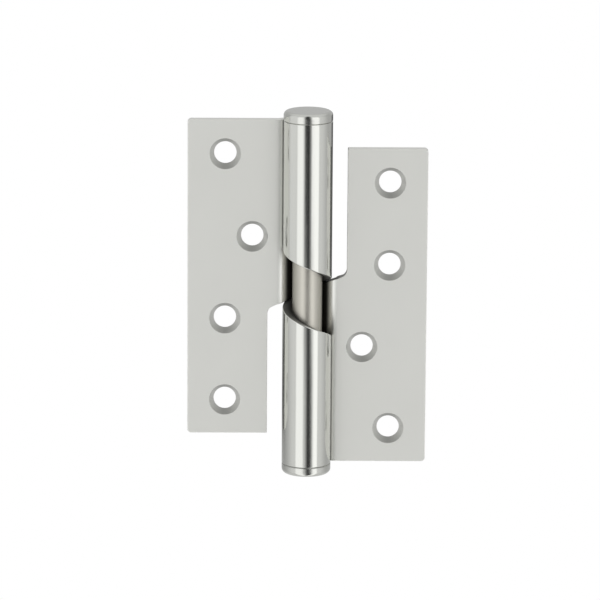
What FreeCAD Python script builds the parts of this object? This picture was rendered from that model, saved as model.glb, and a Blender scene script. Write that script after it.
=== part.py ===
"""Rising butt hinge, 102 x 76 mm, in 3 mm steel sheet.

Two leaves of the same shape are rolled round one pin, each for a little under half its height. The
ends of the knuckles are cut on the slant before rolling, so they meet on a helical face, and a door
that swings open climbs it. A capped plug closes each outer end of the barrel.

Frame: +Z up along the pin, +X to the frame leaf's side, -Y to the countersunk side. The origin is on
the pin's axis, half way up the open hinge. The model is the hinge opened flat, the door leaf lifted.
"""

import FreeCAD, Part
import math
import os

import Sketcher

ORIGIN = FreeCAD.Vector(0, 0, 0)
UP = FreeCAD.Vector(0, 0, 1)
TO_BACK = FreeCAD.Vector(0, 1, 0)
POINT_OF = {"start": 1, "end": 2, "centre": 3}
ORIGIN_POINT = (-1, 1)

doc = FreeCAD.newDocument("RisingButtHinge")

# Driving dimensions, in millimetres and degrees.
SIZES = [
    ("leaf_height", 102.0),
    ("leaf_reach", 38.0),
    ("sheet_thickness", 3.0),
    ("leaf_offset", 1.0),
    ("bend_radius", 2.7),
    ("bend_clearance", 1.9),
    ("curl_gap", 0.3),
    ("pin_diameter", 9.5),
    ("pin_play", 0.05),
    ("pin_chamfer", 0.6),
    ("pin_end_play", 0.5),
    ("seating_play", 0.05),
    ("lead", 18.5),
    ("ramp_gap", 0.25),
    ("bend_ease", 0.85),
    ("notch_clearance", 2.9),
    ("notch_radius", 2.5),
    ("corner_radius", 1.2),
    ("screw_hole_diameter", 7.1),
    ("countersink_diameter", 9.9),
    ("countersink_angle", 60.0),
    ("hole_row_reach", 26.1),
    ("staggered_hole_reach", 17.5),
    ("hole_end_distance", 11.0),
    ("cap_height", 3.2),
    ("cap_round", 1.4),
    ("cap_seam_chamfer", 0.25),
    ("plug_length", 8.0),
    ("plug_chamfer", 0.4),
]
HOLES_PER_LEAF = 4
STAGGERED_HOLE = 1  # counted from the knuckle's end of the leaf

sheet = doc.addObject("Spreadsheet::Sheet", "Sizes")
for row, (alias, size) in enumerate(SIZES, start=1):
    sheet.set(f"A{row}", alias)
    sheet.set(f"B{row}", str(size))
    sheet.setAlias(f"B{row}", alias)
doc.recompute()

# Derived sizes, as expressions on the sheet.
BORE = "(Sizes.pin_diameter / 2 + Sizes.pin_play)"
KNUCKLE = f"({BORE} + Sizes.sheet_thickness)"
MID_KNUCKLE = f"({BORE} + Sizes.sheet_thickness / 2)"
BEND_FRONT = "(Sizes.bend_radius + Sizes.sheet_thickness / 2)"
BEND_BACK = "(Sizes.bend_radius - Sizes.sheet_thickness / 2)"
BEND_CENTRE_Y = f"(Sizes.leaf_offset + {BEND_FRONT})"
# The bend starts clear of the other knuckle, and the notch ends clear of the bend, on the flat.
BEND_REACH = f"({KNUCKLE} + Sizes.bend_clearance)"
BEND_CENTRE_X = f"(-{BEND_REACH})"
CENTRES_APART = f"sqrt({BEND_REACH}^2 + {BEND_CENTRE_Y}^2)"
RADII = f"({MID_KNUCKLE} + Sizes.bend_radius)"
FLANK = f"sqrt({CENTRES_APART}^2 - {RADII}^2)"
BEND_SWEEP = f"(acos({BEND_CENTRE_Y} / {CENTRES_APART}) - acos({RADII} / {CENTRES_APART}))"
JOIN_ANGLE = f"(90deg + {BEND_SWEEP})"
CURL_END_ANGLE = f"({BEND_SWEEP} + 180deg - asin(({BORE} - Sizes.curl_gap) / {KNUCKLE}))"
CURL_SWEEP = f"({JOIN_ANGLE} + 360deg - {CURL_END_ANGLE})"
NOTCH_REACH = f"({BEND_REACH} + Sizes.notch_clearance)"
LIFT_OPEN = "(Sizes.lead / 2)"
PLUG_RADIUS = BORE
HOLE_PITCH = f"((Sizes.leaf_height - 2 * Sizes.hole_end_distance) / {HOLES_PER_LEAF - 1})"
# The slanted cut: its slope along the flat sheet, and its heights above the leaf's far end. Over the
# bend and the flank it is eased, because the other knuckle's edge sweeps close past it there.
CUT_SLOPE = f"(Sizes.lead / (2 * pi * {MID_KNUCKLE}))"
EASED_SLOPE = f"(Sizes.bend_ease * {CUT_SLOPE})"
BEND_PITCH = f"({EASED_SLOPE} * 2 * pi * Sizes.bend_radius)"
CUT_AT_JOIN = f"((Sizes.leaf_height + Sizes.ramp_gap) / 2 - Sizes.lead * {JOIN_ANGLE} / 360deg)"
CUT_AT_FLANK = f"({CUT_AT_JOIN} - {EASED_SLOPE} * {FLANK})"
CUT_AT_BEND = f"({CUT_AT_FLANK} - {BEND_PITCH} * {BEND_SWEEP} / 360deg)"
CUT_AT_NOTCH = f"({CUT_AT_BEND} - {CUT_SLOPE} * ({NOTCH_REACH} + {BEND_CENTRE_X}))"
# The cutting surfaces stand this far proud of the sheet, within the gap at the curl's end.
CUTTER_MARGIN = "(Sizes.curl_gap / 2)"
PAST_CURL_END = f"({CUTTER_MARGIN} / {KNUCKLE} * 180deg / pi)"


def value(expression):
    """The present value of an expression, in millimetres or degrees."""
    result = doc.getObject("Sizes").evalExpression(expression.replace("Sizes.", ""))
    return float(getattr(result, "Value", result))


def bind(item, **expressions):
    """Ties properties of an object to expressions; a double underscore stands for a dot."""
    for name, expression in expressions.items():
        item.setExpression(name.replace("__", "."), expression)


def origin_plane(body, role):
    """One of a body's own origin planes."""
    return next(f for f in body.Origin.OriginFeatures if f.Role == role)


def new_sketch(body, name, role):
    """A sketch on one of the body's origin planes."""
    sketch = body.newObject("Sketcher::SketchObject", name)
    sketch.AttachmentSupport = (origin_plane(body, role), "")
    sketch.MapMode = "FlatFace"
    return sketch


def measure(sketch, kind, *where, size):
    """Adds a dimension to a sketch and ties it to an expression."""
    start = value(size)
    if kind == "Angle":
        start = math.radians(start)
    index = sketch.addConstraint(Sketcher.Constraint(kind, *where, start))
    sketch.setExpression(f"Constraints[{index}]", size)


def relate(sketch, kind, *where):
    """Adds a geometric relation to a sketch."""
    sketch.addConstraint(Sketcher.Constraint(kind, *where))


def polar(centre, radius, degrees):
    """A point at a radius and an angle about a centre, in the sketch's plane."""
    angle = math.radians(degrees)
    return centre + FreeCAD.Vector(radius * math.cos(angle), radius * math.sin(angle), 0)


def arc(centre, radius, first, last):
    """An arc from one angle, in degrees, anticlockwise to another."""
    circle = Part.Circle(centre, UP, radius)
    return Part.ArcOfCircle(circle, math.radians(first), math.radians(last))


def draw_section(sketch):
    """The sheet seen along the pin: flat, bent to the back, straight again, and curled round the pin."""
    bore, knuckle = value(BORE), value(KNUCKLE)
    front, back = value(BEND_FRONT), value(BEND_BACK)
    bend, join, end = value(BEND_SWEEP), value(JOIN_ANGLE), value(CURL_END_ANGLE)
    centre = FreeCAD.Vector(value(BEND_CENTRE_X), value(BEND_CENTRE_Y), 0)
    near, far = value("Sizes.leaf_offset"), value("Sizes.leaf_offset + Sizes.sheet_thickness")
    reach = value("Sizes.leaf_reach")
    bend_front_foot = polar(centre, front, -90)
    bend_back_foot = polar(centre, back, -90)
    edge_front = FreeCAD.Vector(-reach, near, 0)
    edge_back = FreeCAD.Vector(-reach, far, 0)
    face = sketch.addGeometry(Part.LineSegment(edge_front, bend_front_foot))
    bend_in = sketch.addGeometry(arc(centre, front, -90, bend - 90))
    flank_in = sketch.addGeometry(
        Part.LineSegment(polar(centre, front, bend - 90), polar(ORIGIN, bore, join))
    )
    curl_in = sketch.addGeometry(arc(ORIGIN, bore, end, join + 360))
    tip = sketch.addGeometry(Part.LineSegment(polar(ORIGIN, bore, end), polar(ORIGIN, knuckle, end)))
    curl_out = sketch.addGeometry(arc(ORIGIN, knuckle, end, join + 360))
    flank_out = sketch.addGeometry(
        Part.LineSegment(polar(ORIGIN, knuckle, join), polar(centre, back, bend - 90))
    )
    bend_out = sketch.addGeometry(arc(centre, back, -90, bend - 90))
    back_face = sketch.addGeometry(Part.LineSegment(bend_back_foot, edge_back))
    edge = sketch.addGeometry(Part.LineSegment(edge_back, edge_front))
    relate(sketch, "Tangent", face, POINT_OF["end"], bend_in, POINT_OF["start"])
    relate(sketch, "Tangent", bend_in, POINT_OF["end"], flank_in, POINT_OF["start"])
    relate(sketch, "Tangent", flank_in, POINT_OF["end"], curl_in, POINT_OF["end"])
    relate(sketch, "Coincident", curl_in, POINT_OF["start"], tip, POINT_OF["start"])
    relate(sketch, "Coincident", tip, POINT_OF["end"], curl_out, POINT_OF["start"])
    relate(sketch, "Tangent", curl_out, POINT_OF["end"], flank_out, POINT_OF["start"])
    relate(sketch, "Tangent", flank_out, POINT_OF["end"], bend_out, POINT_OF["end"])
    relate(sketch, "Tangent", bend_out, POINT_OF["start"], back_face, POINT_OF["start"])
    relate(sketch, "Coincident", back_face, POINT_OF["end"], edge, POINT_OF["start"])
    relate(sketch, "Coincident", edge, POINT_OF["end"], face, POINT_OF["start"])
    relate(sketch, "Coincident", curl_in, POINT_OF["centre"], *ORIGIN_POINT)
    relate(sketch, "Coincident", curl_out, POINT_OF["centre"], *ORIGIN_POINT)
    relate(sketch, "Coincident", bend_out, POINT_OF["centre"], bend_in, POINT_OF["centre"])
    relate(sketch, "Horizontal", face)
    relate(sketch, "Horizontal", back_face)
    relate(sketch, "Vertical", edge)
    relate(sketch, "PointOnObject", *ORIGIN_POINT, tip)
    measure(sketch, "Radius", curl_in, size=BORE)
    measure(sketch, "Radius", curl_out, size=KNUCKLE)
    measure(sketch, "Radius", bend_in, size=BEND_FRONT)
    measure(sketch, "Radius", bend_out, size=BEND_BACK)
    measure(sketch, "DistanceX", bend_in, POINT_OF["centre"], *ORIGIN_POINT, size=BEND_REACH)
    measure(sketch, "DistanceY", *ORIGIN_POINT, face, POINT_OF["start"], size="Sizes.leaf_offset")
    measure(sketch, "DistanceX", face, POINT_OF["start"], *ORIGIN_POINT, size="Sizes.leaf_reach")
    measure(sketch, "Angle", tip, size=CURL_END_ANGLE)


def draw_notch(sketch):
    """The cut-out beside the other leaf's knuckle: upright at the leaf, slanted at the neck."""
    notch = -value(NOTCH_REACH)
    bend = value(BEND_CENTRE_X)
    corners = [
        FreeCAD.Vector(notch, 0, 0),
        FreeCAD.Vector(notch, value(CUT_AT_NOTCH), 0),
        FreeCAD.Vector(bend, value(CUT_AT_BEND), 0),
        FreeCAD.Vector(bend, 0, 0),
    ]
    lines = [
        sketch.addGeometry(Part.LineSegment(corners[i], corners[(i + 1) % 4])) for i in range(4)
    ]
    upright, slant, limit, foot = lines
    for first, second in zip(lines, lines[1:] + lines[:1]):
        relate(sketch, "Coincident", first, POINT_OF["end"], second, POINT_OF["start"])
    relate(sketch, "Vertical", upright)
    relate(sketch, "Vertical", limit)
    relate(sketch, "Horizontal", foot)
    relate(sketch, "PointOnObject", upright, POINT_OF["start"], -1)
    measure(sketch, "DistanceX", upright, POINT_OF["start"], *ORIGIN_POINT, size=NOTCH_REACH)
    measure(sketch, "DistanceX", slant, POINT_OF["end"], *ORIGIN_POINT, size=BEND_REACH)
    measure(sketch, "DistanceY", *ORIGIN_POINT, slant, POINT_OF["start"], size=CUT_AT_NOTCH)
    measure(sketch, "DistanceY", *ORIGIN_POINT, slant, POINT_OF["end"], size=CUT_AT_BEND)


def draw_screw_holes(sketch):
    """The centres of the screw holes, on the countersunk face."""
    radius = value("Sizes.screw_hole_diameter / 2")
    for number in range(HOLES_PER_LEAF):
        staggered = number == STAGGERED_HOLE
        reach = "Sizes.staggered_hole_reach" if staggered else "Sizes.hole_row_reach"
        height = f"Sizes.leaf_height - Sizes.hole_end_distance - {number} * {HOLE_PITCH}"
        centre = FreeCAD.Vector(-value(reach), value(height), 0)
        hole = sketch.addGeometry(Part.Circle(centre, UP, radius))
        measure(sketch, "Radius", hole, size="Sizes.screw_hole_diameter / 2")
        measure(sketch, "DistanceX", hole, POINT_OF["centre"], *ORIGIN_POINT, size=reach)
        measure(sketch, "DistanceY", *ORIGIN_POINT, hole, POINT_OF["centre"], size=height)


def removes(body, feature):
    """Stops the build if the feature that was just added took nothing off the body."""
    before = feature.BaseFeature.Shape.Volume
    if feature.Shape.Volume > before - 1:
        raise RuntimeError(f"{body.Label}: {feature.Name} cuts nothing")


def edges_where(shape, test):
    """Names of a shape's straight edges that pass a test on their two ends."""
    names = []
    for number, edge in enumerate(shape.Edges, start=1):
        ends = [vertex.Point for vertex in edge.Vertexes]
        if len(ends) == 2 and test(*ends):
            names.append(f"Edge{number}")
    return names


def through_sheet_at(x):
    """A test for edges that run straight through the sheet at one distance from the pin."""
    return lambda a, b: (
        abs(a.x - x) < 1e-4 and abs(b.x - x) < 1e-4 and abs(a.z - b.z) < 1e-4 and abs(a.y - b.y) > 1
    )


def build_leaf_blank(name):
    """The rolled leaf with its notch and screw holes, before its knuckle is cut to the ramp."""
    body = doc.addObject("PartDesign::Body", f"{name}_blank")

    section = new_sketch(body, f"{name}_section", "XY_Plane")
    draw_section(section)
    rolled = body.newObject("PartDesign::Pad", f"{name}_rolled_sheet")
    rolled.Profile = section
    bind(rolled, Length="Sizes.leaf_height")

    notch_sketch = new_sketch(body, f"{name}_notch_outline", "XZ_Plane")
    draw_notch(notch_sketch)
    notch = body.newObject("PartDesign::Pocket", f"{name}_notch")
    notch.Profile = notch_sketch
    notch.Type = "ThroughAll"
    notch.Midplane = True
    doc.recompute()
    removes(body, notch)

    hole_sketch = new_sketch(body, f"{name}_hole_centres", "XZ_Plane")
    draw_screw_holes(hole_sketch)
    # The plane's own normal points to -Y, so the countersunk face lies at a negative offset.
    bind(hole_sketch, AttachmentOffset__Base__z="-Sizes.leaf_offset")
    doc.recompute()
    holes = body.newObject("PartDesign::Hole", f"{name}_screw_holes")
    holes.Profile = hole_sketch
    holes.Threaded = False
    holes.DepthType = "ThroughAll"
    holes.HoleCutType = "Countersink"
    holes.HoleCutCustomValues = True
    bind(
        holes,
        Diameter="Sizes.screw_hole_diameter",
        HoleCutDiameter="Sizes.countersink_diameter",
        HoleCutCountersinkAngle="Sizes.countersink_angle * 1deg",
    )
    doc.recompute()
    removes(body, holes)

    corners = body.newObject("PartDesign::Fillet", f"{name}_corners")
    outer_edges = edges_where(holes.Shape, through_sheet_at(-value("Sizes.leaf_reach")))
    corners.Base = (holes, outer_edges)
    bind(corners, Radius="Sizes.corner_radius")
    doc.recompute()

    notch_corner = body.newObject("PartDesign::Fillet", f"{name}_notch_corner")
    cut_height = value(CUT_AT_NOTCH)
    inner_edges = [
        edge_name
        for edge_name in edges_where(corners.Shape, through_sheet_at(-value(NOTCH_REACH)))
        if abs(corners.Shape.getElement(edge_name).CenterOfMass.z - cut_height) < 1e-3
    ]
    notch_corner.Base = (corners, inner_edges)
    bind(notch_corner, Radius="Sizes.notch_radius")
    body.Tip = notch_corner
    doc.recompute()
    return body


def build_ramp_cutter(name, centre_x, centre_y, inner, outer, pitch, sweep, turn, height, hand):
    """A solid under a helical face whose generators point at an upright axis."""
    curves = []
    for side, radius in (("inner", inner), ("outer", outer)):
        helix = doc.addObject("Part::Helix", f"{name}_{side}_edge")
        helix.LocalCoord = hand
        bind(
            helix,
            Radius=radius,
            Pitch=pitch,
            Height=f"{pitch} * {sweep} / 360deg",
            Placement__Base__x=centre_x,
            Placement__Base__y=centre_y,
            Placement__Base__z=height,
            Placement__Rotation__Angle=turn,
        )
        curves.append(helix)
    return build_cutter(name, curves)


def build_flank_cutter(name):
    """A solid under a sloping flat face across the straight flank, square to the sheet."""
    curves = []
    for side, depth in (
        ("front", f"(Sizes.sheet_thickness / -2 - {CUTTER_MARGIN})"),
        ("back", f"(Sizes.sheet_thickness / 2 + {CUTTER_MARGIN})"),
    ):
        line = doc.addObject("Part::Line", f"{name}_{side}_edge")
        bind(
            line,
            X1=f"{BEND_CENTRE_X} + (Sizes.bend_radius - {depth}) * sin({BEND_SWEEP})",
            Y1=f"{BEND_CENTRE_Y} - (Sizes.bend_radius - {depth}) * cos({BEND_SWEEP})",
            Z1=CUT_AT_FLANK,
            X2=f"({MID_KNUCKLE} + {depth}) * cos({JOIN_ANGLE})",
            Y2=f"({MID_KNUCKLE} + {depth}) * sin({JOIN_ANGLE})",
            Z2=CUT_AT_JOIN,
        )
        curves.append(line)
    return build_cutter(name, curves)


def build_cutter(name, curves):
    """A solid that reaches down from the face ruled between two curves."""
    doc.recompute()
    face = doc.addObject("Part::RuledSurface", f"{name}_face")
    face.Curve1, face.Curve2 = [(curve, ["Edge1"]) for curve in curves]
    face.Orientation = "Forward"
    solid = doc.addObject("Part::Extrusion", name)
    solid.Base = face
    solid.Dir = UP
    solid.DirMode = "Custom"
    solid.Solid = True
    bind(solid, LengthRev="Sizes.leaf_height")
    return solid


def build_leaf(name):
    """One leaf: the blank, cut to the ramp along its curl, its flank and its bend."""
    blank = build_leaf_blank(name)
    curl_cutter = build_ramp_cutter(
        f"{name}_curl_ramp",
        centre_x="0",
        centre_y="0",
        inner=f"{BORE} - {CUTTER_MARGIN}",
        outer=f"{KNUCKLE} + {CUTTER_MARGIN}",
        pitch="Sizes.lead",
        sweep=f"({CURL_SWEEP} + {PAST_CURL_END})",
        turn=JOIN_ANGLE,
        height=CUT_AT_JOIN,
        hand="Left-handed",
    )
    bend_cutter = build_ramp_cutter(
        f"{name}_bend_ramp",
        centre_x=BEND_CENTRE_X,
        centre_y=BEND_CENTRE_Y,
        inner=f"{BEND_BACK} - {CUTTER_MARGIN}",
        outer=f"{BEND_FRONT} + {CUTTER_MARGIN}",
        pitch=BEND_PITCH,
        sweep=BEND_SWEEP,
        turn="-90deg",
        height=CUT_AT_BEND,
        hand="Right-handed",
    )
    curl_cut = doc.addObject("Part::Cut", f"{name}_curl_cut")
    curl_cut.Base = blank
    curl_cut.Tool = curl_cutter
    flank_cut = doc.addObject("Part::Cut", f"{name}_flank_cut")
    flank_cut.Base = curl_cut
    flank_cut.Tool = build_flank_cutter(f"{name}_flank_ramp")
    leaf = doc.addObject("Part::Cut", name)
    leaf.Base = flank_cut
    leaf.Tool = bend_cutter
    leaf.Refine = True
    leaf.Label = name
    return leaf


def build_turned(name, draw):
    """A turned piece: half its section, drawn in the XZ plane, revolved about the pin's axis."""
    body = doc.addObject("PartDesign::Body", name)
    body.Label = name
    sketch = new_sketch(body, f"{name}_half_section", "XZ_Plane")
    draw(sketch)
    turned = body.newObject("PartDesign::Revolution", f"{name}_turned")
    turned.Profile = sketch
    turned.ReferenceAxis = (sketch, ["V_Axis"])
    turned.Angle = 360
    body.Tip = turned
    return body


def draw_stepped_section(sketch, places):
    """A closed outline of straight lines through places given as pairs of expressions (radius, height)."""
    points = [FreeCAD.Vector(value(radius), value(height), 0) for radius, height in places]
    count = len(points)
    lines = [
        sketch.addGeometry(Part.LineSegment(points[i], points[(i + 1) % count])) for i in range(count)
    ]
    for first, second in zip(lines, lines[1:] + lines[:1]):
        relate(sketch, "Coincident", first, POINT_OF["end"], second, POINT_OF["start"])
    for line, (radius, height) in zip(lines, places):
        measure(sketch, "DistanceX", *ORIGIN_POINT, line, POINT_OF["start"], size=radius)
        measure(sketch, "DistanceY", *ORIGIN_POINT, line, POINT_OF["start"], size=height)


def draw_pin_section(sketch):
    """The pin: a plain rod with chamfered ends, standing on the plane Z = 0."""
    radius = "Sizes.pin_diameter / 2"
    length = "(Sizes.leaf_height - 2 * Sizes.plug_length - Sizes.seating_play - Sizes.pin_end_play)"
    draw_stepped_section(
        sketch,
        [
            ("0", "0"),
            (f"{radius} - Sizes.pin_chamfer", "0"),
            (radius, "Sizes.pin_chamfer"),
            (radius, f"{length} - Sizes.pin_chamfer"),
            (f"{radius} - Sizes.pin_chamfer", length),
            ("0", length),
        ],
    )


def draw_cap_section(sketch):
    """An end cap: a plug below the plane Z = 0 and a head as wide as the barrel above it."""
    draw_stepped_section(
        sketch,
        [
            ("0", "-Sizes.plug_length"),
            (f"{PLUG_RADIUS} - Sizes.plug_chamfer", "-Sizes.plug_length"),
            (PLUG_RADIUS, "-Sizes.plug_length + Sizes.plug_chamfer"),
            (PLUG_RADIUS, "0"),
            (f"{KNUCKLE} - Sizes.cap_seam_chamfer", "0"),
            (KNUCKLE, "Sizes.cap_seam_chamfer"),
            (KNUCKLE, "Sizes.cap_height"),
            ("0", "Sizes.cap_height"),
        ],
    )


def build_cap(name):
    """A turned end cap with its outer edge rounded over."""
    body = build_turned(name, draw_cap_section)
    doc.recompute()
    turned = body.Tip
    rim_height = value("Sizes.cap_height")
    rim = [
        f"Edge{number}"
        for number, edge in enumerate(turned.Shape.Edges, start=1)
        if abs(edge.BoundBox.ZMin - rim_height) < 1e-4 and abs(edge.BoundBox.ZMax - rim_height) < 1e-4
        and abs(edge.BoundBox.XLength - 2 * value(KNUCKLE)) < 1e-3
    ]
    rounded = body.newObject("PartDesign::Fillet", f"{name}_round")
    rounded.Base = (turned, rim)
    bind(rounded, Radius="Sizes.cap_round")
    body.Tip = rounded
    return body


def turn_over(item):
    """Turns a piece upside down about the front-to-back axis."""
    item.Placement = FreeCAD.Placement(ORIGIN, FreeCAD.Rotation(TO_BACK, 180))


# The door leaf stands half the open lift above the middle, the frame leaf as far below it.
DOOR_FOOT = f"(-Sizes.leaf_height / 2 + {LIFT_OPEN} / 2)"
DOOR_HEAD = f"(Sizes.leaf_height / 2 + {LIFT_OPEN} / 2)"

door_leaf = build_leaf("door_leaf")
bind(door_leaf, Placement__Base__z=DOOR_FOOT)
frame_leaf = build_leaf("frame_leaf")
turn_over(frame_leaf)
bind(frame_leaf, Placement__Base__z=f"-{DOOR_FOOT}")
pin = build_turned("pin", draw_pin_section)
bind(pin, Placement__Base__z=f"-{DOOR_HEAD} + Sizes.plug_length + Sizes.seating_play")
door_leaf_cap = build_cap("door_leaf_cap")
bind(door_leaf_cap, Placement__Base__z=DOOR_HEAD)
frame_leaf_cap = build_cap("frame_leaf_cap")
turn_over(frame_leaf_cap)
bind(frame_leaf_cap, Placement__Base__z=f"-{DOOR_HEAD}")
pieces = [door_leaf, frame_leaf, pin, door_leaf_cap, frame_leaf_cap]
doc.recompute()

for item in doc.Objects:
    if "Invalid" in item.State or "Error" in item.State:
        raise RuntimeError(f"{item.Label} failed: {item.State}")
for piece in pieces:
    shape = piece.Shape
    if shape.isNull() or not shape.isValid() or len(shape.Solids) != 1:
        raise RuntimeError(f"{piece.Label} is not one valid solid")
    box = shape.BoundBox
    print(
        f"{piece.Label}: {shape.Volume:.1f} mm3, X {box.XMin:.3f} {box.XMax:.3f},"
        f" Y {box.YMin:.3f} {box.YMax:.3f}, Z {box.ZMin:.3f} {box.ZMax:.3f}"
    )

os.makedirs("parts", exist_ok=True)
for piece in pieces:
    piece.Shape.exportStep(f"parts/{piece.Label}.step")
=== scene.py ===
"""Looks of the rising butt hinge: rolled steel leaves, pin and end caps, in a plain studio.

The leaves are one flat blank each, worked out as a surface over the blank's own length, depth and
height, and rolled round the pin by formula. The pin and the caps are turned profiles. All sizes are
in metres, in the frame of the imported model.
"""

from __future__ import annotations

import logging
import math
from abc import ABC, abstractmethod
from dataclasses import dataclass
from enum import Enum

import bpy
import numpy as np
from mathutils import Matrix, Vector
from mathutils.geometry import tessellate_polygon

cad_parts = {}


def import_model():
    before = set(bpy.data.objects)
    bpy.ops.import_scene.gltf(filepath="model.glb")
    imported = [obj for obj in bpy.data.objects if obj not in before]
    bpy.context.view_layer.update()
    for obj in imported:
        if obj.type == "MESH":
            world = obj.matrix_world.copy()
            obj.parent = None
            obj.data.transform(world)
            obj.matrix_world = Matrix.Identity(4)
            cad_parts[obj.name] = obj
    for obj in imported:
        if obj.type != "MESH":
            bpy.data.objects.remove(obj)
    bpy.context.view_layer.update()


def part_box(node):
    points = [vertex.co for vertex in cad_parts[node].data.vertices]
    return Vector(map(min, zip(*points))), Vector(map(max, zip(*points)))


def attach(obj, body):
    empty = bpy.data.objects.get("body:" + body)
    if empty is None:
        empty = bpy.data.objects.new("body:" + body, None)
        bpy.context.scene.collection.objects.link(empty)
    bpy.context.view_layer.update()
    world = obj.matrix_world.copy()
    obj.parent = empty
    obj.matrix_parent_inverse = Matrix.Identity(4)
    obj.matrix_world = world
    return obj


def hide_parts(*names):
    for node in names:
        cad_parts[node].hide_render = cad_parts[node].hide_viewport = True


Array = np.ndarray
MM = 0.001
PHOTO_WIDTH = 600

log = logging.getLogger("hinge")


class Side(Enum):
    """Which leaf a rolled sheet is: the frame leaf is the door leaf turned over."""

    DOOR = 1
    FRAME = -1


class Term:
    """A shader socket that takes part in Python expressions."""

    def __init__(self, graph: Graph, socket: bpy.types.NodeSocket) -> None:
        """Keeps the socket and the graph that new nodes go into."""
        self.graph = graph
        self.socket = socket

    def _with(self, operation: str, *others: Term | float) -> Term:
        """A Math node on this socket and others."""
        return self.graph.node("ShaderNodeMath", {"operation": operation}, [self, *others])

    def __add__(self, other: Term | float) -> Term:
        """Sum."""
        return self._with("ADD", other)

    def __sub__(self, other: Term | float) -> Term:
        """Difference."""
        return self._with("SUBTRACT", other)

    def __rsub__(self, other: float) -> Term:
        """A number less this socket."""
        return self.graph.node("ShaderNodeMath", {"operation": "SUBTRACT"}, [other, self])

    def __mul__(self, other: Term | float) -> Term:
        """Product."""
        return self._with("MULTIPLY", other)

    __radd__ = __add__
    __rmul__ = __mul__

    def __abs__(self) -> Term:
        """Size without sign."""
        return self._with("ABSOLUTE")

    def larger(self, other: Term | float) -> Term:
        """The larger of the two."""
        return self._with("MAXIMUM", other)

    def clamped(self) -> Term:
        """This socket held between 0 and 1."""
        return self.graph.node("ShaderNodeClamp", {}, [self])

    def step(
        self, start: float, end: float, low: Term | float = 0.0, high: Term | float = 1.0
    ) -> Term:
        """A smooth change from one level to another while this socket goes from start to end."""
        settings = {"interpolation_type": "SMOOTHSTEP"}
        inputs = [self, start, end, low, high]
        return self.graph.node("ShaderNodeMapRange", settings, inputs)

    def toward(self, level: Term | float, share: Term) -> Term:
        """This socket moved toward a level by a share."""
        return self + (level - self) * share

    def parts(self) -> tuple[Term, Term, Term]:
        """The three parts of this vector."""
        split = self.graph.tree.nodes.new("ShaderNodeSeparateXYZ")
        self.graph.tree.links.new(self.socket, split.inputs[0])
        return tuple(Term(self.graph, part) for part in split.outputs)


class Graph:
    """A material's or world's node tree, built by one general method."""

    def __init__(self, tree: bpy.types.NodeTree) -> None:
        """Starts from an empty tree."""
        tree.nodes.clear()
        self.tree = tree

    def node(
        self, kind: str, settings: dict, inputs: list | dict, output: str | int = 0
    ) -> Term | None:
        """Adds a node.

        Args:
            kind: The node's type.
            settings: Properties set before the sockets are filled.
            inputs: Values or terms, by the socket's place or name.
            output: The output socket that the result stands for.

        Returns:
            The chosen output as a term, or None from a node without outputs.
        """
        made = self.tree.nodes.new(kind)
        for name, value in settings.items():
            setattr(made, name, value)
        pairs = inputs.items() if isinstance(inputs, dict) else enumerate(inputs)
        for key, value in pairs:
            if isinstance(value, Term):
                self.tree.links.new(value.socket, made.inputs[key])
            else:
                made.inputs[key].default_value = value
        return Term(self, made.outputs[output]) if made.outputs else None

    def blend(self, share: Term | float, first: Term | tuple, second: Term | tuple) -> Term:
        """A colour between two colours, by a share from 0 to 1."""
        ends = [end if isinstance(end, Term) else (*end, 1.0) for end in (first, second)]
        return self.node("ShaderNodeMix", {"data_type": "RGBA"}, {0: share, 6: ends[0], 7: ends[1]}, 2)

    def noise(self, place: Term, scale: float, detail: float) -> Term:
        """Noise from 0 to 1 at a place."""
        inputs = {"Vector": place, "Scale": scale, "Detail": detail}
        return self.node("ShaderNodeTexNoise", {}, inputs)


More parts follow.
